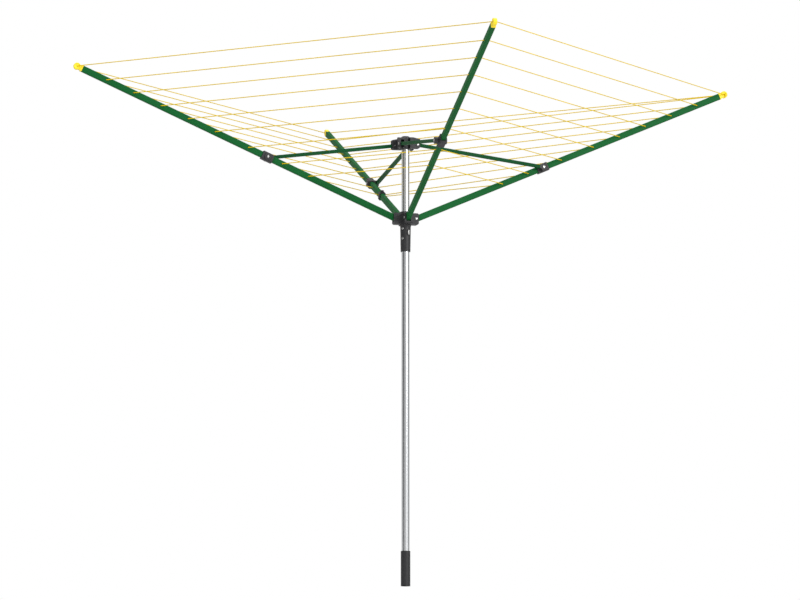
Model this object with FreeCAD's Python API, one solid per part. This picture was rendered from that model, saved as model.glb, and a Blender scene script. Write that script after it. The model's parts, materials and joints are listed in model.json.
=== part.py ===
import FreeCAD, Part
import math
import os

# Rotary clothesline: a pole that turns in a ground sleeve, a fixed crown on top of the pole,
# a runner that slides on it, four line arms hinged on the runner and four struts hinged on the crown.
# Frame: origin on the pole's axis at the bottom of the ground sleeve, +Z up, arm 1 along +X,
# arms 2, 3 and 4 a quarter turn further each. Millimetres. The rest pose is the open, locked one.

V = FreeCAD.Vector
UP = V(0, 0, 1)
ARM_COUNT = 4

# Fits, all radial or per side
RUN_FIT = 0.08
PIN_FIT = 0.06
SEAT_FIT = 0.15
SIDE_GAP = 0.4
SWING_GAP = 1.0
OPEN_PIVOT_GAP = 0.3

# Heights that place the crown on the pole and the locked runner below it
CROWN_PIVOT_Z = 1963.0
PIVOT_DROP = 330.0

# Pole and ground sleeve
POLE_RADIUS = 17.5
POLE_WALL = 1.5
SLEEVE_WALL = 3.42
SLEEVE_LENGTH = 155.0
SLEEVE_FLOOR = 6.0
THRUST_DISC = 3.0
DRAIN_RADIUS = 3.0
FOOT_PLUG_FLANGE = 3.0
FOOT_PLUG_LENGTH = 40.0

# Pivot pins
PIN_RADIUS = 4.0
PIN_HEAD_RADIUS = 5.4
PIN_HEAD = 2.5
PIN_SKIN = 2.0
PIVOT_OUT = 20.0
PIVOT_NOSE = 11.0

# Arms
ARM_RISE = 23.33
ARM_WIDTH = 20.0
ARM_HEIGHT = 28.0
ARM_WALL = 1.2
ARM_CORNER = 4.0
ARM_LENGTH = 1544.0
ARM_ROOT = 8.0
ARM_PLUG_LENGTH = 40.0
EYE_OUT = 26.0
EYE_RADIUS = 15.5
EYE_WIDTH = 18.0
EYE_HOLE = 5.0
CAP_FLANGE = 7.0
CAP_PLUG_LENGTH = 30.0

# Line holes along the arm: an even outer row, and three placed from the bracket
OUTER_HOLE_INSET = 116.0
HOLE_PITCH = 133.0
HOLES_FROM_BRACKET = [96.0, -72.0, -202.0]
LINE_HOLE = 3.0
LINE_RADIUS = 2.0
LINE_BEND = 4.0
LINE_EXIT = 0.5
TWIN_OFFSET = 2.2
KNOT_RADIUS = 4.0

# Struts and the brackets that take them
BRACKET_AT = 637.0
BRACKET_LENGTH = 52.0
BRACKET_WALL = 5.0
BRACKET_BOSS_RADIUS = 16.0
BRACKET_BOSS_EDGE = 1.5
BRACKET_BOSS_HEIGHT = 4.55
STRUT_SIZE = 15.0
STRUT_WALL = 1.2
STRUT_CORNER = 2.0
STRUT_ROOT = 9.0
STRUT_EYE_WALL = 7.5
STRUT_EYE_NECK = 3.0
STRUT_EYE_PLUG = 28.0

# Crown, with heights from its strut pivots
CROWN_WALL = 8.44
CROWN_ABOVE = 31.0
CROWN_BELOW = 19.0
CROWN_EAR = 6.0
CROWN_ROOF = 14.0
CROWN_SLOPE = 7.0
CROWN_FLOOR = 6.0
CROWN_CORNER = 7.0
CROWN_CAP_INSET = 1.0
CROWN_CAP_TOP_RADIUS = 15.0
CROWN_CAP_HEIGHT = 9.0
CROWN_CAP_STEM = 5.0
CROWN_BOLT_RADIUS = 2.5
CROWN_BOLT_BELOW = 12.0

# Runner, with heights from its arm pivots
HUB_WALL = 7.22
HUB_ABOVE = 31.0
HUB_BELOW = 27.0
HUB_EAR = 7.0
HUB_EAR_ABOVE = 24.0
HUB_CORNER = 8.0
COLLAR_BELOW = 148.0
COLLAR_BOTTOM_WALL = 3.0
COLLAR_TOP_WALL = 4.9
FLARE_HEIGHT = 12.0
LINER_WALL = 1.2
LINER_INSET = 4.0

# Liner screws and lock button on the runner's collar
SCREW_AZIMUTH = -135.0
SCREWS_BELOW = [46.0, 90.0]
SCREW_RADIUS = 2.0
SCREW_HEAD_RADIUS = 5.2
SCREW_HEAD = 3.0
SCREW_BOSS_RADIUS = 6.5
SCREW_BOSS_STANDS = 6.2
BUTTON_AZIMUTH = -70.0
BUTTON_BELOW = 63.0
BUTTON_WIDTH = 8.0
BUTTON_HEIGHT = 22.0
BUTTON_TRAVEL = 2.0
BUTTON_STOP_GAP = 0.3
BEZEL_RIM = 3.0
BEZEL_STANDS = 7.2
LOCK_SPRING_THICK = 0.6
LOCK_SPRING_WIDTH = 4.0

# Line tensioner on arm 2, just inside its innermost hole
TENSIONER_FROM_HOLE = 20.0
TENSIONER_LENGTH = 22.0
TENSIONER_WALL = 4.0
TENSIONER_KNOB_RADIUS = 7.0
TENSIONER_KNOB_HEIGHT = 9.0
TENSIONER_SCREW_RADIUS = 2.5

# Worked out from the driving dimensions
ARM_PIVOT_Z = CROWN_PIVOT_Z - PIVOT_DROP
CROWN_TOP = CROWN_PIVOT_Z + CROWN_ABOVE
CROWN_BOTTOM = CROWN_PIVOT_Z - CROWN_BELOW
CROWN_BOLT_Z = CROWN_PIVOT_Z - CROWN_BOLT_BELOW
CROWN_RADIUS = POLE_RADIUS + PIN_FIT + CROWN_WALL
POLE_TOP = CROWN_TOP - CROWN_FLOOR
POLE_BORE = POLE_RADIUS - POLE_WALL
POLE_BOTTOM = SLEEVE_FLOOR + THRUST_DISC + RUN_FIT + FOOT_PLUG_FLANGE
SLEEVE_RADIUS = POLE_RADIUS + RUN_FIT + SLEEVE_WALL
LINER_BORE = POLE_RADIUS + RUN_FIT
COLLAR_BORE = LINER_BORE + LINER_WALL
HUB_RADIUS = COLLAR_BORE + HUB_WALL
HUB_TOP = ARM_PIVOT_Z + HUB_ABOVE
HUB_BOTTOM = ARM_PIVOT_Z - HUB_BELOW
COLLAR_BOTTOM = ARM_PIVOT_Z - COLLAR_BELOW
COLLAR_BOTTOM_RADIUS = COLLAR_BORE + COLLAR_BOTTOM_WALL
COLLAR_TOP_RADIUS = COLLAR_BORE + COLLAR_TOP_WALL
PIVOT_REACH = HUB_RADIUS + PIVOT_OUT
NOSE_REACH = PIVOT_REACH + PIVOT_NOSE
EAR_INNER = ARM_WIDTH / 2 + SIDE_GAP
EAR_OUTER = EAR_INNER + HUB_EAR
ARM_SWING = math.hypot(ARM_ROOT, ARM_HEIGHT / 2) + SWING_GAP
STRUT_SWING = math.hypot(STRUT_ROOT, STRUT_SIZE / 2) + SWING_GAP
SCREW_HEIGHTS = [ARM_PIVOT_Z - below for below in SCREWS_BELOW]
SCREW_BOSS_REACH = COLLAR_BORE + SCREW_BOSS_STANDS
BUTTON_Z = ARM_PIVOT_Z - BUTTON_BELOW
BUTTON_BACK = COLLAR_BORE + BUTTON_STOP_GAP + BUTTON_TRAVEL
BEZEL_REACH = COLLAR_BORE + BEZEL_STANDS
BUTTON_FRONT = BEZEL_REACH + BUTTON_TRAVEL

RISE = math.radians(ARM_RISE)
BRACKET_POINT = V(
    PIVOT_REACH + BRACKET_AT * math.cos(RISE), 0, ARM_PIVOT_Z + BRACKET_AT * math.sin(RISE)
)
STRUT_DROP = CROWN_PIVOT_Z - BRACKET_POINT.z
STRUT_LENGTH = math.hypot(BRACKET_POINT.x - PIVOT_REACH, STRUT_DROP)
STRUT_FALL = math.degrees(math.atan2(STRUT_DROP, BRACKET_POINT.x - PIVOT_REACH))
FOLD_TRAVEL = STRUT_LENGTH + BRACKET_AT - PIVOT_DROP

BRACKET_SIDE = ARM_WIDTH / 2 + SEAT_FIT + BRACKET_WALL
BOSS_FACE = BRACKET_SIDE + BRACKET_BOSS_HEIGHT
STRUT_INNER_FACE = BOSS_FACE + OPEN_PIVOT_GAP
STRUT_OFFSET = STRUT_INNER_FACE + STRUT_SIZE / 2
STRUT_OUTER_FACE = STRUT_OFFSET + STRUT_SIZE / 2
STRUT_EYE_RADIUS = STRUT_SIZE / 2 + STRUT_EYE_WALL
STRUT_TUBE_END = STRUT_LENGTH - STRUT_EYE_RADIUS - STRUT_EYE_NECK

EYE_AT = ARM_LENGTH + EYE_OUT
INNER_HOLES_AT = [BRACKET_AT + out for out in HOLES_FROM_BRACKET]
OUTER_HOLE_AT = ARM_LENGTH - OUTER_HOLE_INSET
OUTER_HOLES = int((OUTER_HOLE_AT - INNER_HOLES_AT[0]) // HOLE_PITCH)
HOLES_AT = [OUTER_HOLE_AT - HOLE_PITCH * i for i in range(OUTER_HOLES)] + INNER_HOLES_AT
TENSIONER_AT = HOLES_AT[-1] - TENSIONER_FROM_HOLE


def cylinder(radius, start, end):
    """Round bar from one point to another."""
    along = end - start
    return Part.makeCylinder(radius, along.Length, start, along)


def box(low, high):
    """Box between two opposite corners."""
    size = high - low
    return Part.makeBox(size.x, size.y, size.z, low)


def turned(shape, azimuth):
    """A copy turned about the pole's axis."""
    copy = shape.copy()
    copy.rotate(V(0, 0, 0), UP, azimuth)
    return copy


def edges_along(shape, direction):
    """The straight edges that lie along a direction."""
    found = []
    for edge in shape.Edges:
        if isinstance(edge.Curve, (Part.Line, Part.LineSegment)):
            if abs(edge.tangentAt(edge.FirstParameter).dot(direction)) > 0.999:
                found.append(edge)
    return found


def rounded_bar(start, end, width, height, corner):
    """Bar along X with its four long edges rounded."""
    bar = box(V(start, -width / 2, -height / 2), V(end, width / 2, height / 2))
    return bar.makeFillet(corner, edges_along(bar, V(1, 0, 0)))


def rounded_tube(start, end, width, height, wall, corner):
    """Tube along X with rounded corners, open at both ends."""
    outer = rounded_bar(start, end, width, height, corner)
    inner = rounded_bar(
        start - 1, end + 1, width - 2 * wall, height - 2 * wall, max(corner - wall, 0.5)
    )
    return outer.cut(inner)


def domed_head(radius, height, base, direction):
    """Low round rivet or screw head that stands on base."""
    head = Part.makeCylinder(radius, height, base, direction)
    rim = [e for e in head.Edges if e.Closed and (e.CenterOfMass - base).dot(direction) > height / 2]
    return head.makeFillet(min(height * 0.7, radius * 0.7), rim)


def lateral_pin(x, z, low, high):
    """Pin across the arm or strut frame, along Y."""
    return cylinder(PIN_RADIUS, V(x, low, z), V(x, high, z))


def lateral_hole(x, z, reach):
    """Running hole for a pivot pin, along Y, through both sides."""
    return cylinder(PIN_RADIUS + PIN_FIT, V(x, -reach, z), V(x, reach, z))


def to_arm(shape, index):
    """From the arm's frame, X along the arm from its pivot, to its place on the runner."""
    copy = shape.copy()
    copy.rotate(V(0, 0, 0), V(0, 1, 0), -ARM_RISE)
    copy.translate(V(PIVOT_REACH, 0, ARM_PIVOT_Z))
    return turned(copy, 90 * index)


def to_strut(shape, index):
    """From the strut's frame, X along the strut from its crown pivot, to its place beside the arm."""
    copy = shape.copy()
    copy.rotate(V(0, 0, 0), V(0, 1, 0), STRUT_FALL)
    copy.translate(V(PIVOT_REACH, -STRUT_OFFSET, CROWN_PIVOT_Z))
    return turned(copy, 90 * index)


def arm_point(index, along, lateral, shift=0.0):
    """Place in the model of a point on the arm's centreline, moved sideways and along the arm."""
    reach = along + shift
    point = V(PIVOT_REACH + reach * math.cos(RISE), lateral, ARM_PIVOT_Z + reach * math.sin(RISE))
    return FreeCAD.Rotation(UP, 90 * index).multVec(point)


def ground_parts():
    """Sleeve that drops into a ground socket, and the disc that the pole turns on."""
    sleeve = cylinder(SLEEVE_RADIUS, V(0, 0, 0), V(0, 0, SLEEVE_LENGTH))
    top_rim = [e for e in sleeve.Edges if e.Closed and e.CenterOfMass.z > SLEEVE_LENGTH - 1]
    sleeve = sleeve.makeChamfer(1.0, top_rim)
    bore = cylinder(POLE_RADIUS + RUN_FIT, V(0, 0, SLEEVE_FLOOR), V(0, 0, SLEEVE_LENGTH + 1))
    drain = cylinder(DRAIN_RADIUS, V(0, 0, -1), V(0, 0, SLEEVE_FLOOR + THRUST_DISC + 1))
    sleeve = sleeve.cut(bore).cut(drain)
    disc_base = V(0, 0, SLEEVE_FLOOR)
    disc = cylinder(POLE_RADIUS - 0.5, disc_base, disc_base + UP * THRUST_DISC)
    return {"ground_sleeve": sleeve, "thrust_disc": disc.cut(drain)}


def pole_parts():
    """Pole tube and the plug that closes its foot."""
    inner = POLE_BORE
    pole = cylinder(POLE_RADIUS, V(0, 0, POLE_BOTTOM), V(0, 0, POLE_TOP))
    pole = pole.cut(cylinder(inner, V(0, 0, POLE_BOTTOM - 1), V(0, 0, POLE_TOP + 1)))
    pole = pole.cut(crown_bolt_hole())
    flange_base = V(0, 0, POLE_BOTTOM - FOOT_PLUG_FLANGE)
    plug = cylinder(POLE_RADIUS - 0.2, flange_base, V(0, 0, POLE_BOTTOM))
    plug = plug.fuse(
        cylinder(inner - SEAT_FIT, V(0, 0, POLE_BOTTOM), V(0, 0, POLE_BOTTOM + FOOT_PLUG_LENGTH))
    )
    return {"pole": pole, "pole_foot_plug": plug}


def crown_bolt_hole():
    """Clear hole for the bolt that holds the crown on the pole."""
    reach = CROWN_RADIUS + 10
    radius = CROWN_BOLT_RADIUS + PIN_FIT
    return cylinder(radius, V(-reach, 0, CROWN_BOLT_Z), V(reach, 0, CROWN_BOLT_Z))


def crown_block():
    """One strut's housing on the crown: a block with a slot that is open outwards and below."""
    near = -(STRUT_INNER_FACE - SIDE_GAP - CROWN_EAR)
    far = -(STRUT_OUTER_FACE + SIDE_GAP + CROWN_EAR)
    bottom = CROWN_BOTTOM + 2
    block = box(V(EAR_INNER + SWING_GAP, far, bottom), V(NOSE_REACH, near, CROWN_TOP))
    ends = [e for e in edges_along(block, V(0, 1, 0)) if e.CenterOfMass.x > NOSE_REACH - 1]
    block = block.makeFillet(CROWN_CORNER, ends)
    slope = Part.makePolygon([
        V(CROWN_RADIUS, 0, CROWN_TOP), V(NOSE_REACH + 1, 0, CROWN_TOP - CROWN_SLOPE),
        V(NOSE_REACH + 1, 0, CROWN_TOP + 1), V(CROWN_RADIUS, 0, CROWN_TOP + 1),
        V(CROWN_RADIUS, 0, CROWN_TOP),
    ])
    wedge = Part.Face(slope).extrude(V(0, near - far + 2, 0))
    wedge.translate(V(0, far - 1, 0))
    block = block.cut(wedge)
    slot_low = V(PIVOT_REACH - STRUT_SWING, far + CROWN_EAR, bottom - 1)
    slot_high = V(NOSE_REACH + 1, near - CROWN_EAR, CROWN_TOP - CROWN_ROOF)
    block = block.cut(box(slot_low, slot_high))
    hole_start, hole_end = V(PIVOT_REACH, far - 1, CROWN_PIVOT_Z), V(PIVOT_REACH, near + 1, CROWN_PIVOT_Z)
    hole = cylinder(PIN_RADIUS + PIN_FIT, hole_start, hole_end)
    return block, hole, near, far


def crown_parts():
    """Crown on the pole's top, its cap, the strut pins and the bolt through the pole."""
    core = cylinder(CROWN_RADIUS, V(0, 0, CROWN_BOTTOM), V(0, 0, CROWN_TOP))
    lower_rim = [e for e in core.Edges if e.Closed and e.CenterOfMass.z < CROWN_BOTTOM + 1]
    crown = core.makeFillet(2.0, lower_rim)
    block, hole, near, far = crown_block()
    pins = []
    for index in range(ARM_COUNT):
        crown = crown.fuse(turned(block, 90 * index))
        pin = lateral_pin(PIVOT_REACH, CROWN_PIVOT_Z, far, near)
        pin = pin.fuse(
            domed_head(PIN_HEAD_RADIUS, PIN_HEAD, V(PIVOT_REACH, far, CROWN_PIVOT_Z), V(0, -1, 0))
        )
        pins.append(turned(pin, 90 * index))
    crown = crown.removeSplitter()
    crown = crown.cut(cylinder(POLE_RADIUS + PIN_FIT, V(0, 0, CROWN_BOTTOM - 1), V(0, 0, POLE_TOP)))
    crown = crown.cut(cylinder(CROWN_CAP_STEM + PIN_FIT, V(0, 0, POLE_TOP), V(0, 0, CROWN_TOP + 1)))
    crown = crown.cut(crown_bolt_hole())
    for index in range(ARM_COUNT):
        crown = crown.cut(turned(hole, 90 * index))

    cap_radius = CROWN_RADIUS - CROWN_CAP_INSET
    cap = Part.makeCone(
        cap_radius, CROWN_CAP_TOP_RADIUS, CROWN_CAP_HEIGHT, V(0, 0, CROWN_TOP), UP
    )
    top_rim = [e for e in cap.Edges if e.Closed and e.CenterOfMass.z > CROWN_TOP + 1]
    cap = cap.makeFillet(CROWN_CAP_HEIGHT * 0.4, top_rim)
    cap = cap.fuse(cylinder(CROWN_CAP_STEM, V(0, 0, POLE_TOP + 0.5), V(0, 0, CROWN_TOP)))

    end = CROWN_RADIUS
    bolt = cylinder(CROWN_BOLT_RADIUS, V(-end - 3, 0, CROWN_BOLT_Z), V(end, 0, CROWN_BOLT_Z))
    bolt = bolt.fuse(domed_head(4.5, 3.0, V(end, 0, CROWN_BOLT_Z), V(1, 0, 0)))
    nut = Part.makeCylinder(4.5, 3.0, V(-end, 0, CROWN_BOLT_Z), V(-1, 0, 0))
    bolt = bolt.fuse(nut)
    return {
        "crown": crown,
        "crown_cap": cap,
        "crown_strut_pins": Part.makeCompound(pins),
        "crown_bolt": bolt,
    }


def hub_clevis():
    """One pair of ears on the runner, joined by a floor, with the slot for an arm's root."""
    top = ARM_PIVOT_Z + HUB_EAR_ABOVE
    block = box(V(0, -EAR_OUTER, HUB_BOTTOM), V(NOSE_REACH, EAR_OUTER, top))
    ends = [e for e in edges_along(block, V(0, 1, 0)) if e.CenterOfMass.x > NOSE_REACH - 1]
    block = block.makeFillet(HUB_CORNER, ends)
    slot_low = V(PIVOT_REACH - ARM_SWING, -EAR_INNER, ARM_PIVOT_Z - ARM_SWING)
    return block.cut(box(slot_low, V(NOSE_REACH + 1, EAR_INNER, top + 1)))


def runner_parts():
    """Runner moulding with its collar, the liner that runs on the pole, and the arm pins."""
    clevis = hub_clevis()
    runner = cylinder(HUB_RADIUS, V(0, 0, HUB_BOTTOM), V(0, 0, HUB_TOP))
    top_rim = [e for e in runner.Edges if e.Closed and e.CenterOfMass.z > HUB_TOP - 1]
    runner = runner.makeFillet(4.0, top_rim)
    neck = Part.makeCone(
        COLLAR_BOTTOM_RADIUS, COLLAR_TOP_RADIUS, HUB_BOTTOM - COLLAR_BOTTOM, V(0, 0, COLLAR_BOTTOM), UP
    )
    flare_base = V(0, 0, HUB_BOTTOM - FLARE_HEIGHT)
    flare = Part.makeCone(COLLAR_TOP_RADIUS - 0.3, HUB_RADIUS, FLARE_HEIGHT, flare_base, UP)
    runner = runner.fuse(neck).fuse(flare)
    pins = []
    for index in range(ARM_COUNT):
        runner = runner.fuse(turned(clevis, 90 * index))
        pin = lateral_pin(PIVOT_REACH, ARM_PIVOT_Z, -EAR_OUTER, EAR_OUTER - PIN_SKIN)
        base = V(PIVOT_REACH, -EAR_OUTER, ARM_PIVOT_Z)
        pin = pin.fuse(domed_head(PIN_HEAD_RADIUS, PIN_HEAD, base, V(0, -1, 0)))
        pins.append(turned(pin, 90 * index))
    for height in SCREW_HEIGHTS:
        boss = cylinder(SCREW_BOSS_RADIUS, V(0, 0, height), V(SCREW_BOSS_REACH, 0, height))
        runner = runner.fuse(turned(boss, SCREW_AZIMUTH))
    bezel = button_prism(BEZEL_RIM, 0, BEZEL_REACH)
    runner = runner.fuse(turned(bezel, BUTTON_AZIMUTH)).removeSplitter()
    runner = runner.cut(cylinder(COLLAR_BORE, V(0, 0, COLLAR_BOTTOM - 1), V(0, 0, HUB_TOP + 1)))
    window = button_prism(SIDE_GAP, COLLAR_BORE - 2, BEZEL_REACH + 1)
    runner = runner.cut(turned(window, BUTTON_AZIMUTH))
    for index in range(ARM_COUNT):
        mouth = V(PIVOT_REACH, -EAR_OUTER - 1, ARM_PIVOT_Z)
        hole = cylinder(PIN_RADIUS + PIN_FIT, mouth, V(mouth.x, EAR_OUTER - PIN_SKIN + PIN_FIT, mouth.z))
        runner = runner.cut(turned(hole, 90 * index))
    for height in SCREW_HEIGHTS:
        runner = runner.cut(turned(screw_hole(height), SCREW_AZIMUTH))

    low, high = V(0, 0, COLLAR_BOTTOM + LINER_INSET), V(0, 0, HUB_TOP - LINER_INSET)
    liner = cylinder(COLLAR_BORE, low, high).cut(cylinder(LINER_BORE, low - UP, high + UP))
    for height in SCREW_HEIGHTS:
        liner = liner.cut(turned(screw_hole(height), SCREW_AZIMUTH))
    return {"runner": runner, "runner_liner": liner, "arm_pivot_pins": Part.makeCompound(pins)}


def screw_hole(height):
    """Hole for one liner screw, through the collar and the liner on one side."""
    radius = SCREW_RADIUS + PIN_FIT
    return cylinder(radius, V(POLE_RADIUS - 2, 0, height), V(SCREW_BOSS_REACH + 1, 0, height))


def screw_parts():
    """The two screws that hold the liner in the collar."""
    screws = []
    for height in SCREW_HEIGHTS:
        start = V(LINER_BORE + SIDE_GAP, 0, height)
        seat = V(SCREW_BOSS_REACH, 0, height)
        screw = cylinder(SCREW_RADIUS, start, seat)
        screw = screw.fuse(domed_head(SCREW_HEAD_RADIUS, SCREW_HEAD, seat, V(1, 0, 0)))
        screws.append(turned(screw, SCREW_AZIMUTH))
    return {"liner_screws": Part.makeCompound(screws)}


def button_prism(grow, inner, outer):
    """Oblong block on the +X side of the collar, larger than the button by grow all round."""
    half_width = BUTTON_WIDTH / 2 + grow
    half_height = BUTTON_HEIGHT / 2 + grow
    block = box(
        V(inner, -half_width, BUTTON_Z - half_height), V(outer, half_width, BUTTON_Z + half_height)
    )
    return block.makeFillet(half_width * 0.95, edges_along(block, V(1, 0, 0)))


def lock_parts():
    """Push button that frees the runner, and the leaf spring that returns it."""
    button = button_prism(0, BUTTON_BACK, BUTTON_FRONT)
    face = [e for e in button.Edges if e.BoundBox.XMin > BUTTON_FRONT - 0.01]
    button = button.makeFillet(1.2, face)
    half = BUTTON_HEIGHT / 2 - 1
    foot = COLLAR_BORE + 0.1
    crest = BUTTON_BACK - LOCK_SPRING_THICK - 0.1
    outer_arc = Part.Arc(
        V(foot + LOCK_SPRING_THICK, 0, BUTTON_Z - half),
        V(crest + LOCK_SPRING_THICK, 0, BUTTON_Z),
        V(foot + LOCK_SPRING_THICK, 0, BUTTON_Z + half),
    ).toShape()
    inner_arc = Part.Arc(
        V(foot, 0, BUTTON_Z - half), V(crest, 0, BUTTON_Z), V(foot, 0, BUTTON_Z + half)
    ).toShape()
    ends = [
        Part.LineSegment(V(foot, 0, z), V(foot + LOCK_SPRING_THICK, 0, z)).toShape()
        for z in (BUTTON_Z - half, BUTTON_Z + half)
    ]
    outline = Part.Wire(Part.__sortEdges__([outer_arc, inner_arc] + ends))
    strip = Part.Face(outline).extrude(V(0, LOCK_SPRING_WIDTH, 0))
    strip.translate(V(0, -LOCK_SPRING_WIDTH / 2, 0))
    return {
        "lock_button": turned(button, BUTTON_AZIMUTH),
        "lock_spring": turned(strip, BUTTON_AZIMUTH),
    }


def arm_tube():
    """Arm tube in its own frame, drilled for its pins and for the line."""
    tube = rounded_tube(-ARM_ROOT, ARM_LENGTH, ARM_WIDTH, ARM_HEIGHT, ARM_WALL, ARM_CORNER)
    reach = ARM_WIDTH
    tube = tube.cut(lateral_hole(0, 0, reach)).cut(lateral_hole(BRACKET_AT, 0, reach))
    for at in HOLES_AT:
        tube = tube.cut(cylinder(LINE_HOLE, V(at, -reach, 0), V(at, reach, 0)))
    return tube


def arm_root_plug():
    """Plug in the arm's root, rounded about the pivot so that it clears the runner as it swings."""
    nose = cylinder(ARM_HEIGHT / 2, V(0, -ARM_WIDTH / 2, 0), V(0, ARM_WIDTH / 2, 0))
    keep = box(V(-ARM_HEIGHT, -ARM_WIDTH, -ARM_HEIGHT), V(-ARM_ROOT, ARM_WIDTH, ARM_HEIGHT))
    nose = nose.common(keep)
    width = ARM_WIDTH - 2 * (ARM_WALL + SEAT_FIT)
    height = ARM_HEIGHT - 2 * (ARM_WALL + SEAT_FIT)
    insert = rounded_bar(-ARM_ROOT, ARM_PLUG_LENGTH, width, height, ARM_CORNER - ARM_WALL)
    return nose.fuse(insert).cut(lateral_hole(0, 0, ARM_WIDTH))


def arm_tip_cap():
    """Cap on the arm's end: a plug, a flange and a round eye for the outermost line."""
    width = ARM_WIDTH - 2 * (ARM_WALL + SEAT_FIT)
    height = ARM_HEIGHT - 2 * (ARM_WALL + SEAT_FIT)
    plug = rounded_bar(
        ARM_LENGTH - CAP_PLUG_LENGTH, ARM_LENGTH, width, height, ARM_CORNER - ARM_WALL
    )
    flange = rounded_bar(ARM_LENGTH, ARM_LENGTH + CAP_FLANGE, ARM_WIDTH, ARM_HEIGHT, ARM_CORNER)
    half = EYE_WIDTH / 2
    eye = cylinder(EYE_RADIUS, V(EYE_AT, -half, 0), V(EYE_AT, half, 0))
    rims = [e for e in eye.Edges if e.Closed]
    eye = eye.makeFillet(3.0, rims)
    neck_height = EYE_RADIUS * 1.5
    neck = box(
        V(ARM_LENGTH + CAP_FLANGE - 1, -half + 1, -neck_height / 2), V(EYE_AT, half - 1, neck_height / 2)
    )
    cap = plug.fuse(flange).fuse(eye).fuse(neck)
    return cap.cut(cylinder(EYE_HOLE, V(EYE_AT, -EYE_WIDTH, 0), V(EYE_AT, EYE_WIDTH, 0)))


def arm_bracket():
    """Bracket clamped round the arm, with a round boss on each side. The strut's end lies beside one."""
    height = ARM_HEIGHT + 2 * (SEAT_FIT + BRACKET_WALL)
    low, high = BRACKET_AT - BRACKET_LENGTH / 2, BRACKET_AT + BRACKET_LENGTH / 2
    body = rounded_bar(low, high, 2 * BRACKET_SIDE, height, ARM_CORNER + 1)
    boss = cylinder(BRACKET_BOSS_RADIUS, V(BRACKET_AT, -BOSS_FACE, 0), V(BRACKET_AT, BOSS_FACE, 0))
    boss = boss.makeFillet(BRACKET_BOSS_EDGE, [e for e in boss.Edges if e.Closed])
    hole = rounded_bar(
        low - 1, high + 1, ARM_WIDTH + 2 * SEAT_FIT, ARM_HEIGHT + 2 * SEAT_FIT, ARM_CORNER
    )
    return body.fuse(boss).cut(hole).cut(lateral_hole(BRACKET_AT, 0, 2 * ARM_WIDTH))


def bracket_rivet():
    """Rivet through the bracket and the arm. It stops flush with the boss beside the strut."""
    rivet = lateral_pin(BRACKET_AT, 0, -BOSS_FACE, BOSS_FACE)
    head = domed_head(PIN_HEAD_RADIUS, PIN_HEAD, V(BRACKET_AT, BOSS_FACE, 0), V(0, 1, 0))
    return rivet.fuse(head)


def strut_tube():
    """Strut tube in its own frame, with the hole for its crown pin."""
    tube = rounded_tube(
        -STRUT_ROOT, STRUT_TUBE_END, STRUT_SIZE, STRUT_SIZE, STRUT_WALL, STRUT_CORNER
    )
    return tube.cut(lateral_hole(0, 0, STRUT_SIZE))


def strut_eye():
    """Moulded eye plugged into the strut's outer end."""
    half = STRUT_SIZE / 2
    eye = cylinder(STRUT_EYE_RADIUS, V(STRUT_LENGTH, -half, 0), V(STRUT_LENGTH, half, 0))
    rims = [e for e in eye.Edges if e.Closed]
    eye = eye.makeFillet(2.0, rims)
    width = STRUT_SIZE - 2 * (STRUT_WALL + SEAT_FIT)
    shoulder = rounded_bar(STRUT_TUBE_END, STRUT_LENGTH, STRUT_SIZE, STRUT_SIZE, STRUT_CORNER)
    plug_in = STRUT_TUBE_END - STRUT_EYE_PLUG
    plug = rounded_bar(plug_in, STRUT_TUBE_END, width, width, STRUT_CORNER - STRUT_WALL)
    return eye.fuse(shoulder).fuse(plug).cut(lateral_hole(STRUT_LENGTH, 0, STRUT_SIZE))


def strut_end_pin():
    """Headed pin in the strut's eye. It rides with the strut and ends flush at the bracket's boss."""
    half = STRUT_SIZE / 2
    pin = lateral_pin(STRUT_LENGTH, 0, -half, half)
    head = domed_head(PIN_HEAD_RADIUS, PIN_HEAD, V(STRUT_LENGTH, -half, 0), V(0, -1, 0))
    return pin.fuse(head)


def tensioner_parts():
    """Tensioner on arm 2: a saddle that holds the line's inner end, and its knob."""
    side = ARM_WIDTH / 2 + SEAT_FIT + TENSIONER_WALL
    top = ARM_HEIGHT / 2 + SEAT_FIT + TENSIONER_WALL
    low, high = TENSIONER_AT - TENSIONER_LENGTH / 2, TENSIONER_AT + TENSIONER_LENGTH / 2
    body = rounded_bar(low, high, 2 * side, 2 * top, ARM_CORNER)
    body = body.cut(
        rounded_bar(low - 1, high + 1, ARM_WIDTH + 2 * SEAT_FIT, ARM_HEIGHT + 2 * SEAT_FIT, ARM_CORNER)
    )
    body = body.cut(
        cylinder(TENSIONER_SCREW_RADIUS + PIN_FIT, V(TENSIONER_AT, 0, 0), V(TENSIONER_AT, 0, top + 1))
    )
    seat = V(TENSIONER_AT, 0, top)
    knob = Part.makeCylinder(TENSIONER_KNOB_RADIUS, TENSIONER_KNOB_HEIGHT, seat, UP)
    rim = [e for e in knob.Edges if e.Closed and e.CenterOfMass.z > top + 1]
    knob = knob.makeFillet(2.0, rim)
    foot = V(TENSIONER_AT, 0, ARM_HEIGHT / 2 + SEAT_FIT)
    knob = knob.fuse(cylinder(TENSIONER_SCREW_RADIUS, foot, seat))
    return {"line_tensioner": to_arm(body, 1), "tensioner_knob": to_arm(knob, 1)}, side


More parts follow.
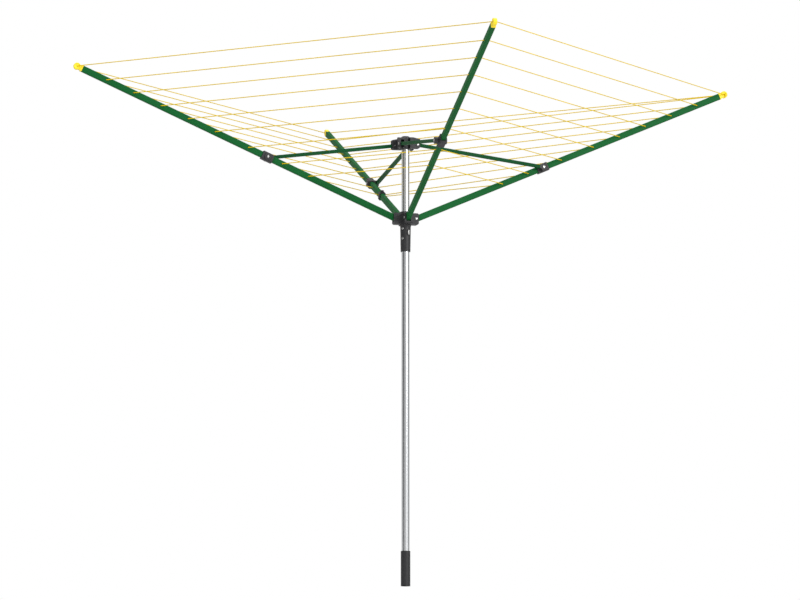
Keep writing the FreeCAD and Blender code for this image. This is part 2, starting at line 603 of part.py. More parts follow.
def cord(points):
    """Round cord along straight runs, with a tangent arc at each point between two runs."""
    edges = []
    start = points[0]
    for before, corner, after in zip(points, points[1:], points[2:]):
        back = (before - corner).normalize()
        ahead = (after - corner).normalize()
        turn = math.pi - back.getAngle(ahead)
        cut = LINE_BEND * math.tan(turn / 2)
        enter, leave = corner + back * cut, corner + ahead * cut
        inward = (back + ahead).normalize()
        sagitta = LINE_BEND / math.cos(turn / 2) - LINE_BEND
        edges.append(Part.LineSegment(start, enter).toShape())
        edges.append(Part.Arc(enter, corner + inward * sagitta, leave).toShape())
        start = leave
    edges.append(Part.LineSegment(start, points[-1]).toShape())
    path = Part.Wire(edges)
    ring = Part.Wire([Part.makeCircle(LINE_RADIUS, points[0], points[1] - points[0])])
    return path.makePipeShell([ring], True, False), path.Length


def middle(a, b):
    """Point halfway between two points."""
    return (a + b) * 0.5


def washing_line(tensioner_side):
    """The one line, wound from the tensioner outwards, cut at mid-span into what each arm carries.

    It goes from arm 1 to arms 4, 3 and 2 at one hole, and steps out to arm 1's next hole.
    """
    stations = HOLES_AT[::-1] + [EYE_AT]
    sides = [ARM_WIDTH / 2 + LINE_EXIT] * len(HOLES_AT) + [EYE_WIDTH / 2 + LINE_EXIT]
    pieces = [[] for _ in range(ARM_COUNT)]
    total = 0.0
    last = len(stations) - 1

    def face(index, level, side):
        """Where the line leaves an arm, on its +1 or -1 side. Two runs share arm 1's eye."""
        shift = -TWIN_OFFSET if index == 0 and level == last else 0.0
        return arm_point(index, stations[level], side * sides[level], shift)

    tail = arm_point(1, TENSIONER_AT, -tensioner_side)
    tail_corner = arm_point(1, TENSIONER_AT, -tensioner_side - 3)
    end_corner = arm_point(0, EYE_AT, EYE_WIDTH / 2 + LINE_EXIT, TWIN_OFFSET)
    knot_side = EYE_WIDTH / 2 + KNOT_RADIUS + 0.1
    knot_start = arm_point(0, EYE_AT, -knot_side, TWIN_OFFSET)

    for level in range(len(stations)):
        for index in range(ARM_COUNT):
            before, after = (index + 1) % ARM_COUNT, (index - 1) % ARM_COUNT
            if index == 0:
                came_from = tail_corner if level == 0 else face(1, level - 1, -1)
            else:
                came_from = face(before, level, -1)
            if index == 1:
                goes_to = end_corner if level == last else face(0, level + 1, 1)
            else:
                goes_to = face(after, level, 1)
            enter, leave = face(index, level, 1), face(index, level, -1)
            route = [middle(came_from, enter), enter, leave, middle(leave, goes_to)]
            solid, length = cord(route)
            pieces[index].append(solid)
            total += length

    solid, length = cord([tail, tail_corner, middle(tail_corner, face(0, 0, 1))])
    pieces[1].append(solid)
    total += length
    solid, length = cord([knot_start, end_corner, middle(end_corner, face(1, last, -1))])
    knot_centre = arm_point(0, EYE_AT, -knot_side, TWIN_OFFSET + 0.8)
    knot = Part.makeSphere(KNOT_RADIUS, knot_centre)
    pieces[0].append(solid.fuse(knot))
    total += length
    nodes = {f"washing_line_{i + 1}": Part.makeCompound(p) for i, p in enumerate(pieces)}
    return nodes, total


def arm_and_strut_parts():
    """Every arm with what is fixed to it, and every strut with what is fixed to it."""
    arm_pieces = {
        "arm_tube": arm_tube(),
        "arm_root_plug": arm_root_plug(),
        "arm_tip_cap": arm_tip_cap(),
        "arm_bracket": arm_bracket(),
        "bracket_rivet": bracket_rivet(),
    }
    strut_pieces = {
        "strut_tube": strut_tube(),
        "strut_eye": strut_eye(),
        "strut_end_pin": strut_end_pin(),
    }
    nodes = {}
    for index in range(ARM_COUNT):
        for name, shape in arm_pieces.items():
            nodes[f"{name}_{index + 1}"] = to_arm(shape, index)
        for name, shape in strut_pieces.items():
            nodes[f"{name}_{index + 1}"] = to_strut(shape, index)
    return nodes


def build():
    """Every node of the clothesline, by name."""
    nodes = {}
    nodes.update(ground_parts())
    nodes.update(pole_parts())
    nodes.update(crown_parts())
    nodes.update(runner_parts())
    nodes.update(screw_parts())
    nodes.update(lock_parts())
    nodes.update(arm_and_strut_parts())
    tensioner, side = tensioner_parts()
    nodes.update(tensioner)
    line, length = washing_line(side)
    nodes.update(line)
    return nodes, length


os.makedirs("parts", exist_ok=True)
parts, line_length = build()
for node, shape in parts.items():
    shape.exportStep(f"parts/{node}.step")
    print(f"{node:22s} solids {len(shape.Solids):3d}  valid {shape.isValid()}  volume {shape.Volume:12.1f}")
print(f"nodes {len(parts)}")
print(f"line length {line_length:.0f} mm, bend radius {LINE_BEND} mm at each hole")
print(f"strut length {STRUT_LENGTH:.3f}, strut fall {STRUT_FALL:.4f} degrees")
print(f"fold travel {FOLD_TRAVEL:.3f} mm, arm swing {90 - ARM_RISE:.4f}, strut swing {90 - STRUT_FALL:.4f}")
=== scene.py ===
import json
import math

import bpy
from mathutils import Matrix, Vector


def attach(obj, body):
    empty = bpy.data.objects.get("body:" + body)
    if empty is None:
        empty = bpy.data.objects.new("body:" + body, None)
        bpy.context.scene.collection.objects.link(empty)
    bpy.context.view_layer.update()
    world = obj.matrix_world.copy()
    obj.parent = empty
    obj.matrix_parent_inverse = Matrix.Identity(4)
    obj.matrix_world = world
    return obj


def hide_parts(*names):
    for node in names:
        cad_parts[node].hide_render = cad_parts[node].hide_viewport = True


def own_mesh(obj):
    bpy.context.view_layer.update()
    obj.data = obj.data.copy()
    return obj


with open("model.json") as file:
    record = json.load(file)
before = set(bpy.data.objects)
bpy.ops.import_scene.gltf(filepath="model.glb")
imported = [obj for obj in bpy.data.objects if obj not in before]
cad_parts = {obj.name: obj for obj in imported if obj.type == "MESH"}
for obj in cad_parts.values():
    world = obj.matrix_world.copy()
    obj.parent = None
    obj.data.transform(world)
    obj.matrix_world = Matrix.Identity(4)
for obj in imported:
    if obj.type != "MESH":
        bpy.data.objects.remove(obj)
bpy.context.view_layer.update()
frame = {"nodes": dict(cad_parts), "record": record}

# Everything is in metres, in the model's own frame: origin on the pole's axis at the sleeve's
# foot, +Z up, arm 1 along +X and the other arms a quarter turn further each.
MM = 0.001
UP = Vector((0, 0, 1))
ARMS = 4
JOINTS = {joint["name"]: joint for joint in frame["record"]["behaviour"]["joints"]}
ARM_RISE = math.radians(23.33)
FOLD_ANGLE = math.pi / 2 - ARM_RISE
FOLD_TRAVEL = JOINTS["runner_slide"]["range_m"][1]

# The washing line, as the solids have it
LINE_RADIUS = 2.0 * MM
LINE_HOLES = [435 * MM, 565 * MM, 733 * MM, 896 * MM, 1029 * MM, 1162 * MM, 1295 * MM, 1428 * MM]
EYE_AT = 1570 * MM
LEVELS = LINE_HOLES + [EYE_AT]
ARM_FACE = 10.5 * MM
EYE_FACE = 9.5 * MM
TWIN_OFFSET = 2.2 * MM
TENSIONER_AT = 415 * MM
TENSIONER_FACE = 17.15 * MM


def srgb(red, green, blue):
    """A colour given in screen values of 0 to 255, as the linear colour that a shader takes."""
    def linear(value):
        share = value / 255
        return share / 12.92 if share <= 0.04045 else ((share + 0.055) / 1.055) ** 2.4
    return (linear(red), linear(green), linear(blue), 1.0)


# ---------------------------------------------------------------- finishes


class Signal:
    """A socket's value in a finish. Sums written on it add Math nodes."""

    def __init__(self, finish, socket):
        self.finish = finish
        self.socket = socket

    def math(self, operation, first, second):
        return self.finish.node("ShaderNodeMath", {"operation": operation}, {0: first, 1: second})

    def __add__(self, other):
        return self.math("ADD", self, other)

    __radd__ = __add__

    def __sub__(self, other):
        return self.math("SUBTRACT", self, other)

    def __rsub__(self, other):
        return self.math("SUBTRACT", other, self)

    def __mul__(self, other):
        return self.math("MULTIPLY", self, other)

    __rmul__ = __mul__


class Nodes:
    """A tree of shader nodes."""

    def __init__(self, tree):
        self.tree = tree
        self.tree.nodes.clear()

    def node(self, kind, settings=None, inputs=None, output=0):
        """Add a node: its settings first, then the values or links of its sockets.

        Gives one of its outputs, or the node itself where it has none.
        """
        made = self.tree.nodes.new(kind)
        for name, value in (settings or {}).items():
            if name == "stops":
                ramp = made.color_ramp.elements
                while len(ramp) < len(value):
                    ramp.new(0.5)
                for stop, (position, colour) in zip(ramp, value):
                    stop.position = position
                    stop.color = colour
            else:
                setattr(made, name, value)
        for socket, value in (inputs or {}).items():
            self.feed(made.inputs[socket], value)
        return Signal(self, made.outputs[output]) if made.outputs else made

    def feed(self, socket, value):
        """Link a signal to a socket, or give the socket a plain value."""
        if isinstance(value, Signal):
            self.tree.links.new(value.socket, socket)
        else:
            socket.default_value = value

    def ramp(self, value, low, high):
        """The value, spread so that low gives 0 and high gives 1."""
        stops = [(low, (0, 0, 0, 1)), (high, (1, 1, 1, 1))]
        return self.node("ShaderNodeValToRGB", {"stops": stops}, {"Fac": value})


class Finish(Nodes):
    """A procedural material on one Principled shader, read from object coordinates."""

    def __init__(self, name, **plain):
        self.material = bpy.data.materials.new(name)
        self.material.use_nodes = True
        super().__init__(self.material.node_tree)
        self.shader = self.node("ShaderNodeBsdfPrincipled")
        self.output = self.node("ShaderNodeOutputMaterial", inputs={"Surface": self.shader})
        self.place = self.node("ShaderNodeTexCoord", output="Object")
        for name, value in plain.items():
            self.set(name.replace("_", " ").title().replace("Ior", "IOR"), value)

    def set(self, name, value):
        """Give a value or a signal to one of the shader's sockets."""
        self.feed(self.shader.socket.node.inputs[name], value)

    def noise(self, scale, detail, stretch=(1, 1, 1)):
        """Cloudy pattern from 0 to 1, drawn out along the axes with a small stretch value."""
        place = self.node("ShaderNodeMapping", inputs={"Vector": self.place, "Scale": stretch})
        pattern = {"Vector": place, "Scale": scale, "Detail": detail}
        return self.node("ShaderNodeTexNoise", inputs=pattern)

    def blend(self, share, first, second):
        """Colour that goes from first to second as share goes from 0 to 1."""
        colours = {0: share, 6: first, 7: second}
        return self.node("ShaderNodeMix", {"data_type": "RGBA"}, colours, output=2)

    def bump(self, height, depth, strength):
        """Surface relief of a given depth in metres."""
        relief = {"Height": height, "Distance": depth, "Strength": strength}
        return self.node("ShaderNodeBump", inputs=relief)


def painted_tube(name, main, shade, roughness):
    """Semi-gloss powder coat: slight cloudiness, orange peel, a few dull rubbed marks."""
    paint = Finish(name, specular_ior_level=0.12)
    rubbed = srgb(72, 138, 92)
    clouds = paint.noise(scale=9, detail=4)
    rubs = paint.ramp(paint.noise(scale=30, detail=6, stretch=(0.2, 1, 1)), low=0.58, high=0.74)
    peel = paint.noise(scale=900, detail=2)
    paint.set("Base Color", paint.blend(rubs * 0.08, paint.blend(clouds, main, shade), rubbed))
    paint.set("Roughness", clouds * 0.12 + rubs * 0.15 + roughness)
    paint.set("Normal", paint.bump(peel, depth=0.1 * MM, strength=0.35))
    return paint.material


def moulded_plastic(name, main, shade, roughness):
    """Moulded plastic: fine spark-eroded grain, soft flow clouds, a little dust."""
    plastic = Finish(name, specular_ior_level=0.33)
    dusty = srgb(150, 149, 144)
    flow = plastic.noise(scale=45, detail=3)
    dust = plastic.ramp(plastic.noise(scale=160, detail=5), low=0.52, high=0.8)
    grain = plastic.noise(scale=1400, detail=2)
    plastic.set("Base Color", plastic.blend(dust * 0.07, plastic.blend(flow, main, shade), dusty))
    plastic.set("Roughness", flow * 0.1 + dust * 0.12 + roughness)
    plastic.set("Normal", plastic.bump(grain, depth=0.12 * MM, strength=0.5))
    return plastic.material


def drawn_aluminium():
    """Drawn tube: fine lengthwise lines, with patches where the lustre dulls."""
    metal = Finish("drawn_aluminium", metallic=1.0)
    lustre, dulled = srgb(226, 228, 230), srgb(184, 187, 190)
    lines = metal.noise(scale=420, detail=4, stretch=(1, 1, 0.006))
    patches = metal.noise(scale=7, detail=3)
    marks = metal.ramp(metal.noise(scale=60, detail=6, stretch=(1, 1, 0.25)), low=0.62, high=0.75)
    metal.set("Base Color", metal.blend(marks * 0.25 + patches * 0.2, lustre, dulled))
    metal.set("Roughness", lines * 0.08 + patches * 0.06 + marks * 0.08 + 0.18)
    metal.set("Normal", metal.bump(lines, depth=0.02 * MM, strength=0.25))
    return metal.material


def bright_zinc():
    """Zinc plate on pins, rivets and screws."""
    metal = Finish("bright_zinc", metallic=1.0)
    spots = metal.noise(scale=380, detail=4)
    metal.set("Base Color", metal.blend(spots, srgb(214, 214, 210), srgb(170, 171, 172)))
    metal.set("Roughness", spots * 0.2 + 0.2)
    metal.set("Normal", metal.bump(spots, depth=0.05 * MM, strength=0.3))
    return metal.material


def sheathed_cord():
    """Smooth plastic sheath over a laid core: a faint spiral lay shows along the run."""
    cord = Finish("line_sheath", specular_ior_level=0.12)
    along_and_round = cord.node("ShaderNodeUVMap", {"uv_map": "UVMap"})
    pattern = {"Vector": along_and_round, "Scale": 1.0, "Distortion": 0.4}
    lay = cord.node("ShaderNodeTexWave", {"bands_direction": "DIAGONAL"}, pattern)
    clouds = cord.noise(scale=25, detail=4)
    worn = clouds * 0.6 + lay * 0.3
    cord.set("Base Color", cord.blend(worn, srgb(228, 198, 0), srgb(208, 176, 0)))
    cord.set("Roughness", clouds * 0.15 + 0.38)
    cord.set("Normal", cord.bump(lay, depth=0.2 * MM, strength=0.5))
    return cord.material


FINISHES = {
    "arm_green": painted_tube("arm_paint", srgb(10, 94, 42), srgb(4, 82, 35), 0.46),
    "strut_green": painted_tube("strut_paint", srgb(6, 78, 38), srgb(3, 66, 30), 0.48),
    "black_plastic": moulded_plastic("black_moulding", srgb(48, 48, 50), srgb(38, 38, 40), 0.4),
    "black_sleeve": moulded_plastic("sleeve_moulding", srgb(46, 46, 48), srgb(38, 38, 40), 0.38),
    "yellow_plastic": moulded_plastic("yellow_moulding", srgb(250, 226, 52), srgb(242, 214, 34), 0.32),
    "liner_white": moulded_plastic("white_moulding", srgb(222, 222, 216), srgb(206, 206, 200), 0.4),
    "pole_aluminium": drawn_aluminium(),
    "steel": bright_zinc(),
    "line_yellow": sheathed_cord(),
}

for part in frame["record"]["subparts"]:
    node = frame["nodes"][part["node"]]
    node.data.materials.clear()
    node.data.materials.append(FINISHES[part["material_slot"]])


# ---------------------------------------------------------------- washing line


def quarter(index):
    """Turn about the pole that takes arm 1's place to another arm's."""
    return Matrix.Rotation(math.pi / 2 * index, 3, "Z")


def pivot(index):
    """Where an arm is hinged on the runner."""
    return Vector(JOINTS[f"arm_{index + 1}_fold"]["pos_m"])


def fold_turn(index):
    """Turn that an arm makes as it folds up against the pole."""
    axis = Vector(JOINTS[f"arm_{index + 1}_fold"]["axis"])
    return Matrix.Rotation(FOLD_ANGLE, 3, axis)


def arm_point(index, along, sideways):
    """Point beside an arm's centreline, that far along from its hinge."""
    offset = Vector((along * math.cos(ARM_RISE), sideways, along * math.sin(ARM_RISE)))
    return pivot(index) + quarter(index) @ offset


def folded(index, point):
    """Where a point that rides on an arm goes when the airer is folded."""
    hinge = pivot(index)
    return hinge + fold_turn(index) @ (point - hinge) - UP * FOLD_TRAVEL


def line_stops():
    """Every point where the line bends at an arm, outwards from the tensioner: arm, point, level."""
    last = len(LEVELS) - 1
    stops = [(1, arm_point(1, TENSIONER_AT, -TENSIONER_FACE), 0)]
    for level, along in enumerate(LEVELS):
        face = EYE_FACE if level == last else ARM_FACE
        for index in (0, 3, 2, 1):
            shift = -TWIN_OFFSET if index == 0 and level == last else 0
            stops.append((index, arm_point(index, along + shift, face), level))
            stops.append((index, arm_point(index, along + shift, -face), level))
    stops.append((0, arm_point(0, EYE_AT + TWIN_OFFSET, EYE_FACE), last))
    return stops


def select_only(*pieces):
    """Select these pieces and nothing else, the first of them active."""
    bpy.ops.object.select_all(action="DESELECT")
    for piece in pieces:
        piece.select_set(True)
    bpy.context.view_layer.objects.active = pieces[0]


def cord_mesh(name, points, radius=LINE_RADIUS):
    """Smooth tube along a NURBS line."""
    curve = bpy.data.curves.new(name, "CURVE")
    curve.dimensions = "3D"
    curve.bevel_depth = radius
    curve.bevel_resolution = 2
    curve.use_fill_caps = True
    curve.resolution_u = 3
    spline = curve.splines.new("NURBS")
    spline.points.add(len(points) - 1)
    for control, point in zip(spline.points, points):
        control.co = (*point, 1)
    spline.use_endpoint_u = True
    spline.order_u = 3
    cord = bpy.data.objects.new(name, curve)
    bpy.context.collection.objects.link(cord)
    select_only(cord)
    bpy.ops.object.convert(target="MESH")
    piece = bpy.context.view_layer.objects.active
    piece.data.materials.clear()
    piece.data.materials.append(FINISHES["line_yellow"])
    bpy.ops.object.shade_smooth()
    return piece


LEAST_KEPT = 0.002
HALF_RUN_STEPS = 4


def slack(piece, index, start, end, meeting):
    """Works out how much of a half run to keep as it swings in towards its meeting point with the other
    half when the airer folds, then gives the piece a mesh of its own; nothing here moves the run.
    """
    rest = end - start
    wanted = fold_turn(index).inverted() @ (meeting - folded(index, start))
    change = rest - wanted
    keep = max(1 - change.length_squared / rest.dot(change), LEAST_KEPT)
    f"arm_{index + 1}_fold"
    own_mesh(piece)


# How deep each level hangs when folded: a share of its reach at rest, clear of the level inside
# it, of the brackets that close round it and of the crown. A level that is less than
# BRACKET_REACH above the brackets' tops is still above them BRACKET_SHARE of its way in.
HANG_SHARE = 0.45
HANG_GAP = 12 * MM
BRACKET_TOP = 1402 * MM
BRACKET_REACH = 100 * MM
BRACKET_SHARE = 0.74
CROWN_CAP_TOP = 2010 * MM


def hang_depths():
    """Depth of the folded loop at each level of the line."""
    depths = []
    for level, along in enumerate(LEVELS):
        on_arm = arm_point(0, along, 0)
        height = folded(0, on_arm).z
        depth = HANG_SHARE * on_arm.x
        if BRACKET_TOP < height < BRACKET_TOP + BRACKET_REACH:
            depth = (height - BRACKET_TOP) / BRACKET_SHARE
        elif height > BRACKET_TOP and depths:
            depth = min(depth, depths[-1] + along - LEVELS[level - 1] - HANG_GAP)
        if height > CROWN_CAP_TOP:
            depth = min(depth, height - CROWN_CAP_TOP)
        depths.append(depth)
    return depths


HANG = hang_depths()
HANG_REACH = 18 * MM

STOPS = line_stops()

for number, (first, second) in enumerate(zip(STOPS[0::2], STOPS[1::2])):
    middle = (first[1] + second[1]) / 2
    across = quarter(first[0]) @ Vector((1, 0, 0)) + quarter(second[0]) @ Vector((1, 0, 0))
    heights = [folded(index, point).z for index, point, level in (first, second)]
    depth = HANG[min(first[2], second[2])]
    meeting = across * HANG_REACH + UP * (sum(heights) / 2 - depth)
    for side, (index, start, level) in enumerate((first, second)):
        points = [start.lerp(middle, step / HALF_RUN_STEPS) for step in range(HALF_RUN_STEPS + 1)]
        piece = cord_mesh(f"line_run_{number + 1:02d}_{'ab'[side]}", points)
        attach(piece, f"arm_{index + 1}")
        slack(piece, index, start, middle, meeting)
        if number < ARMS:
            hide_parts(f"washing_line_{index + 1}")

# What passes through each arm: a short bent length at every hole, rigid with the arm
THROUGH_RADIUS = LINE_RADIUS * 1.03
BEND_REACH = 3 * MM
KNOT_SIDE = 13.3 * MM
KNOT_SIZE = 1.2 * MM
KNOT_DEPTH = 2.1 * MM
KNOT_STEPS = 24
TAIL_LENGTH = 16 * MM
TAIL_BOW = 2 * MM
TAIL_END_OUT = 1 * MM
INNER_END = 5 * MM


def joined(name, pieces):
    """Several meshes made into one object."""
    select_only(*pieces)
    bpy.ops.object.join()
    whole = bpy.context.view_layer.objects.active
    whole.name = name
    return whole


def beside(corner, other):
    """Point a little way along the run that goes from a bend to the next arm."""
    return corner + (other - corner).normalized() * BEND_REACH


def end_knot(centre):
    """Overhand knot that keeps the line's outer end from slipping back through arm 1's eye."""
    along = (arm_point(0, EYE_AT, 0) - pivot(0)).normalized()
    out = Vector((0, -1, 0))
    up = out.cross(along)
    loop = []
    for step in range(KNOT_STEPS + 1):
        turn = math.tau * step / KNOT_STEPS
        flat = along * (math.sin(turn) + 2 * math.sin(2 * turn))
        flat += up * (math.cos(turn) - 2 * math.cos(2 * turn))
        loop.append(centre + flat * KNOT_SIZE + out * (math.sin(3 * turn) * KNOT_DEPTH))
    bowed = centre - up * TAIL_LENGTH * 0.5 + out * TAIL_BOW
    tail = [centre, bowed, centre - UP * TAIL_LENGTH + out * TAIL_END_OUT]
    return [cord_mesh("knot_loop", loop), cord_mesh("knot_tail", tail)]


def thread(*route):
    """Length of line that passes through an arm, a hair thicker than the runs it joins."""
    return cord_mesh("thread", route, THROUGH_RADIUS)


threads = [[] for arm in range(ARMS)]
for number in range(1, len(STOPS) - 1, 2):
    (index, enter, level), leave = STOPS[number], STOPS[number + 1][1]
    before, after = STOPS[number - 1][1], STOPS[number + 2][1]
    threads[index].append(thread(beside(enter, before), enter, leave, beside(leave, after)))

inner_bend = STOPS[0][1]
inner_end = inner_bend + quarter(1) @ Vector((0, 1, 0)) * INNER_END
threads[1].append(thread(inner_end, inner_bend, beside(inner_bend, STOPS[1][1])))

outer_bend = STOPS[-1][1]
knot_centre = arm_point(0, EYE_AT + TWIN_OFFSET, -KNOT_SIDE)
threads[0].append(thread(beside(outer_bend, STOPS[-2][1]), outer_bend, knot_centre))
threads[0].extend(end_knot(knot_centre))

for index, pieces in enumerate(threads):
    threading = joined(f"line_threading_{index + 1}", pieces)
    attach(threading, f"arm_{index + 1}")
    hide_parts(f"washing_line_{index + 1}")


# ---------------------------------------------------------------- moulded arm ends

ARM_LENGTH = 1544 * MM
CAP_FLANGE = 7 * MM
# Each block of an arm end: half its width and half its height, then the radius of its edges
FLANGE_SIZE, FLANGE_EDGE = (10.6 * MM, 14.6 * MM), 2.4 * MM
NECK_SIZE, NECK_EDGE = (8.0 * MM, 11.5 * MM), 2.0 * MM
RIB_SIZE, RIB_EDGE = (9.2 * MM, 1.1 * MM), 0.7 * MM
RIB_HEIGHTS = [-7 * MM, 0, 7 * MM]
# Where neck and ribs begin inside the flange, and how far short of the eye's centre they end
NECK_START = ARM_LENGTH + 3 * MM
NECK_END = EYE_AT - 9 * MM
RIB_END = EYE_AT - 13 * MM
# Half of the ring's outline in millimetres: distance from the eye's centre, and distance out
# from the ring's middle plane
RING_OUTLINE = [(5.0, 7.6), (5.3, 8.6), (6.0, 9.0), (6.9, 9.0), (7.6, 8.6), (8.2, 7.4), (11.4, 7.4),
                (12.0, 8.3), (12.8, 8.6), (14.2, 8.2), (15.1, 7.4), (15.5, 6.0), (15.5, 2.0)]
RING_STEPS = 64
CAP_EDGE = 0.4 * MM
CAP_EDGE_ABOVE = math.radians(50)


def apply_all(piece):
    """Turn a piece's modifiers into its mesh."""
    select_only(piece)
    for modifier in list(piece.modifiers):
        bpy.ops.object.modifier_apply(modifier=modifier.name)
    return piece


def soft_block(name, start, end, half_size, edge, height=0):
    """Block that lies along the arm from start to end, with rounded edges."""
    bpy.ops.object.select_all(action="DESELECT")
    bpy.ops.mesh.primitive_cube_add(size=1)
    block = bpy.context.active_object
    block.name = name
    half_width, half_height = half_size
    low = Vector((start, -half_width, height - half_height))
    high = Vector((end, half_width, height + half_height))
    middle, span = (low + high) / 2, high - low
    for vertex in block.data.vertices:
        vertex.co = vertex.co * span + middle
    rounding = block.modifiers.new("edges", "BEVEL")
    rounding.width = edge
    rounding.segments = 4
    return apply_all(block)


def revolved(name, outline):
    """Ring turned about the Y axis from a closed outline of distance and height pairs."""
    mesh = bpy.data.meshes.new(name)
    corners = [(distance, height, 0) for distance, height in outline]
    edges = [(corner, (corner + 1) % len(corners)) for corner in range(len(corners))]
    mesh.from_pydata(corners, edges, [])
    ring = bpy.data.objects.new(name, mesh)
    bpy.context.collection.objects.link(ring)
    turn = ring.modifiers.new("turn", "SCREW")
    turn.axis = "Y"
    turn.steps = turn.render_steps = RING_STEPS
    turn.use_merge_vertices = True
    turn.use_normal_calculate = True
    return apply_all(ring)


def outward(piece):
    """Point a closed mesh's normals outwards."""
    select_only(piece)
    bpy.ops.object.mode_set(mode="EDIT")
    bpy.ops.mesh.select_all(action="SELECT")
    bpy.ops.mesh.normals_make_consistent(inside=False)
    bpy.ops.object.mode_set(mode="OBJECT")


def united(whole, parts):
    """One closed mesh from overlapping ones."""
    for part in parts:
        union = whole.modifiers.new("union", "BOOLEAN")
        union.operation = "UNION"
        union.solver = "EXACT"
        union.object = part
        apply_all(whole)
        bpy.data.objects.remove(part)
    return whole


def tip_cap():
    """Moulded arm end in the arm's own frame: flange, ribbed neck and a ring with a recessed web."""
    outline = RING_OUTLINE + [(r, -y) for r, y in reversed(RING_OUTLINE)]
    ring = revolved("tip_cap", [(r * MM, y * MM) for r, y in outline])
    for vertex in ring.data.vertices:
        vertex.co.x += EYE_AT
    outward(ring)
    flange_end = ARM_LENGTH + CAP_FLANGE
    flange = soft_block("flange", ARM_LENGTH, flange_end, FLANGE_SIZE, FLANGE_EDGE)
    neck = soft_block("neck", NECK_START, NECK_END, NECK_SIZE, NECK_EDGE)
    ribs = [soft_block("rib", NECK_START, RIB_END, RIB_SIZE, RIB_EDGE, z) for z in RIB_HEIGHTS]
    cap = united(ring, [flange, neck] + ribs)
    outward(cap)
    smooth = cap.modifiers.new("edges", "BEVEL")
    smooth.width = CAP_EDGE
    smooth.segments = 2
    smooth.limit_method = "ANGLE"
    smooth.angle_limit = CAP_EDGE_ABOVE
    return apply_all(cap)


def placed_copy(model, name, matrix):
    """Copy of a piece with its own mesh, moved in its mesh."""
    copy = bpy.data.objects.new(name, model.data.copy())
    copy.data.transform(matrix)
    bpy.context.collection.objects.link(copy)
    return copy


cap_model = tip_cap()
for index in range(ARMS):
    turned = Matrix.Rotation(math.pi / 2 * index, 4, "Z") @ Matrix.Rotation(-ARM_RISE, 4, "Y")
    place = Matrix.Translation(pivot(index)) @ turned
    cap = placed_copy(cap_model, f"tip_moulding_{index + 1}", place)
    cap.data.materials.clear()
    cap.data.materials.append(FINISHES["yellow_plastic"])
    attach(cap, f"arm_{index + 1}")
    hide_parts(f"arm_tip_cap_{index + 1}")
bpy.data.objects.remove(cap_model)


# ---------------------------------------------------------------- stage, light and camera


# The floor fades between these shares of its half width
FLOOR_HALF = 10
FLOOR_DROP = 2 * MM
FADE_START, FADE_END = 0.3, 0.85
# Dark flags and one bright panel in the surroundings, for the metal to mirror: the direction
# round the pole, the cosines at which a patch is full and at which it ends, and its strength
FLAGS = [(-164.5, 0.97, 0.80, 0.8), (-12, 0.99, 0.9, 0.5)]
BRIGHT = (-62, 0.985, 0.90, 0.5)
SURROUND_LIGHT = 0.6
LAMP_SIZE = 3


def stage():
    """Pale floor just under the sleeve's foot. It fades with distance and shows from above only."""
    bpy.ops.mesh.primitive_plane_add(size=2 * FLOOR_HALF, location=(0, 0, -FLOOR_DROP))
    floor = bpy.context.active_object
    floor.name = "floor"
    pale = Finish("pale_floor", roughness=0.9)
    clouds = pale.noise(scale=0.8, detail=3)
    pale.set("Base Color", pale.blend(clouds, srgb(232, 232, 231), srgb(228, 228, 227)))
    under = pale.node("ShaderNodeNewGeometry", output="Backfacing")
    clear = pale.node("ShaderNodeBsdfTransparent")
    reach = pale.node("ShaderNodeVectorMath", {"operation": "LENGTH"}, {0: pale.place}, output="Value")
    faded = pale.ramp(reach * (1 / FLOOR_HALF), FADE_START, FADE_END)
    hidden = under + faded - under * faded
    mixed = pale.node("ShaderNodeMixShader", inputs={0: hidden, 1: pale.shader, 2: clear})
    pale.feed(pale.output.inputs["Surface"], mixed)
    floor.data.materials.append(pale.material)


def soft_light(name, place, aim_height, power, mirrored=True):
    """Large square lamp, turned to a point on the pole. The metal need not mirror it."""
    data = bpy.data.lights.new(name, "AREA")
    data.size = LAMP_SIZE
    data.energy = power
    lamp = bpy.data.objects.new(name, data)
    bpy.context.collection.objects.link(lamp)
    lamp.visible_glossy = mirrored
    lamp.location = place
    lamp.rotation_euler = (UP * aim_height - Vector(place)).to_track_quat("-Z", "Y").to_euler()


def patch(sky, toward, azimuth, full, end):
    """Round soft-edged patch of the surroundings: 1 in its middle, 0 outside."""
    aim = (math.cos(math.radians(azimuth)), math.sin(math.radians(azimuth)), 0)
    directions = {0: toward, 1: aim}
    along = sky.node("ShaderNodeVectorMath", {"operation": "DOT_PRODUCT"}, directions, output="Value")
    return sky.ramp(along, end, full)


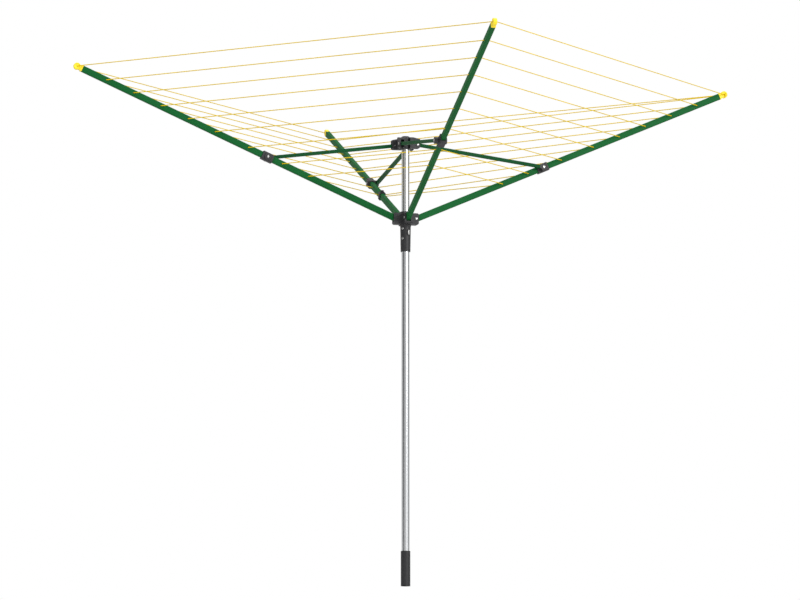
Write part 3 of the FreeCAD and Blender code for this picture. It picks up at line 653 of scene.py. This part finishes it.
def studio():
    """White surroundings, weaker as light than as a background, with patches for the metal to mirror."""
    world = bpy.data.worlds.new("studio")
    world.use_nodes = True
    bpy.context.scene.world = world
    sky = Nodes(world.node_tree)
    toward = sky.node("ShaderNodeTexCoord", output="Generated")
    dimming = 0
    for azimuth, full, end, share in FLAGS:
        dimming = patch(sky, toward, azimuth, full, end) * share + dimming
    azimuth, full, end, extra = BRIGHT
    glow = (1 - dimming) * SURROUND_LIGHT + patch(sky, toward, azimuth, full, end) * extra
    seen = sky.node("ShaderNodeLightPath", output="Is Camera Ray")
    strength = seen + glow * (1 - seen)
    white = {"Color": (1, 1, 1, 1), "Strength": strength}
    background = sky.node("ShaderNodeBackground", inputs=white)
    sky.node("ShaderNodeOutputWorld", inputs={"Surface": background})


stage()
studio()
soft_light("key", (4.4, -7.5, 4.4), aim_height=1.7, power=380)
soft_light("side", (-7.5, -4.3, 4.0), aim_height=1.7, power=240, mirrored=False)
soft_light("top", (0.5, -1, 8), aim_height=1.6, power=190)
bpy.context.scene.view_settings.view_transform = "Standard"

# Where the camera stands, back from the pole's axis and below the sleeve's foot, and how it
# turns. The focal length is in millimetres.
VIEW_TURN = math.radians(14.51)
CAMERA_BACK = 23.015
CAMERA_HEIGHT = -1.745
CAMERA_PAN = -0.00106
CAMERA_TILT = 0.13024
FOCAL_LENGTH = 235.755
CAMERA_SEES_TO = 200


def view_camera():
    """Camera with a long lens, looking up at the airer from low and far off."""
    data = bpy.data.cameras.new("camera")
    data.sensor_width = 36
    data.lens = FOCAL_LENGTH
    data.clip_end = CAMERA_SEES_TO
    camera = bpy.data.objects.new("camera", data)
    bpy.context.collection.objects.link(camera)
    turn_back = Matrix.Rotation(-VIEW_TURN, 3, "Z")
    camera.location = turn_back @ Vector((0, -CAMERA_BACK, CAMERA_HEIGHT))
    level = Vector((math.sin(CAMERA_PAN), math.cos(CAMERA_PAN), 0)) * math.cos(CAMERA_TILT)
    forward = turn_back @ (level + UP * math.sin(CAMERA_TILT))
    camera.rotation_euler = forward.to_track_quat("-Z", "Y").to_euler()
    bpy.context.scene.camera = camera


view_camera()
